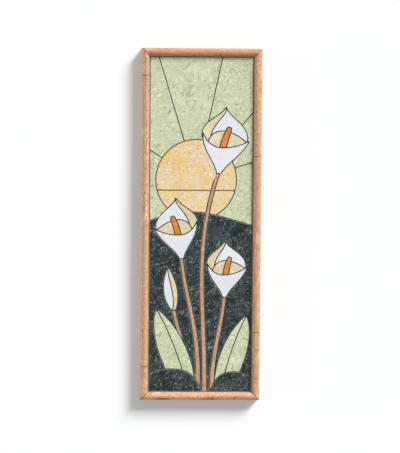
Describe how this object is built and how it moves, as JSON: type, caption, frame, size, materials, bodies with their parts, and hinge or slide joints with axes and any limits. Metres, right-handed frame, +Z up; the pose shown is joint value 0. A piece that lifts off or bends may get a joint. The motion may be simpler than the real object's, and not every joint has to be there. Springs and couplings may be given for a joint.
{
  "type": "mosaic panel",
  "caption": "Tall wall panel of cut stones set as a picture of lilies before a low sun, in a half-round stone frame.",
  "frame": {"origin": "centre of the flat back that goes against the wall", "axes": "+Z up the panel, +X to the right as seen from the front, +Y from the face into the wall"},
  "size_m": [0.312, 0.032, 0.914],
  "materials": {
    "moulding_stone": "honed, softly glossy, clouded pink, ochre and tan with pits",
    "board": "raw plywood",
    "bedding": "matt dark mortar",
    "pale_green_stone": "polished, clouded pale green with cream and grey",
    "deep_green_stone": "polished, dark green with light flecks and veins",
    "ochre_stone": "polished, ochre with pinkish clouds",
    "white_stone": "polished white",
    "cream_stone": "polished, cream with faint bands",
    "tan_stone": "polished, pinkish tan",
    "orange_stone": "polished, warm orange"
  },
  "bodies": {
    "root": {"backing_board": "board", "bud_fold": "cream_stone", "bud_petal": "white_stone", "bud_stem": "tan_stone", "far_hill_1": "deep_green_stone", "far_hill_2": "deep_green_stone", "far_hill_3": "deep_green_stone", "frame_foot": "moulding_stone", "frame_head": "moulding_stone", "frame_left_lower": "moulding_stone", "frame_left_middle": "moulding_stone", "frame_left_upper": "moulding_stone", "frame_right_lower": "moulding_stone", "frame_right_middle": "moulding_stone", "frame_right_upper": "moulding_stone", "high_lily_petal": "white_stone", "high_lily_rolled_rim": "cream_stone", "high_lily_spadix": "orange_stone", "high_lily_stem": "tan_stone", "high_lily_throat_1": "cream_stone", "high_lily_throat_2": "cream_stone", "high_lily_wrap": "white_stone", "left_leaf_inner_half": "pale_green_stone", "left_leaf_outer_half": "pale_green_stone", "left_lily_petal": "white_stone", "left_lily_rolled_rim": "cream_stone", "left_lily_spadix": "orange_stone", "left_lily_stem": "tan_stone", "left_lily_throat_1": "cream_stone", "left_lily_throat_2": "cream_stone", "left_lily_wrap": "white_stone", "left_mound": "deep_green_stone", "low_lily_petal": "white_stone", "low_lily_rolled_rim": "cream_stone", "low_lily_spadix": "orange_stone", "low_lily_stem": "tan_stone", "low_lily_throat_1": "cream_stone", "low_lily_throat_2": "cream_stone", "low_lily_wrap": "white_stone", "lower_sun_1": "ochre_stone", "lower_sun_2": "ochre_stone", "near_hill_1": "deep_green_stone", "near_hill_2": "deep_green_stone", "near_hill_3": "deep_green_stone", "near_hill_4": "deep_green_stone", "near_hill_5": "deep_green_stone", "near_hill_6": "deep_green_stone", "right_leaf_inner_half": "pale_green_stone", "right_leaf_outer_half": "pale_green_stone", "right_mound": "deep_green_stone", "setting_bed": "bedding", "sky_1": "pale_green_stone", "sky_2": "pale_green_stone", "sky_3": "pale_green_stone", "sky_4": "pale_green_stone", "sky_5": "pale_green_stone", "sky_6": "pale_green_stone", "upper_sun_1": "ochre_stone", "upper_sun_2": "ochre_stone"}
  },
  "joints": []
}
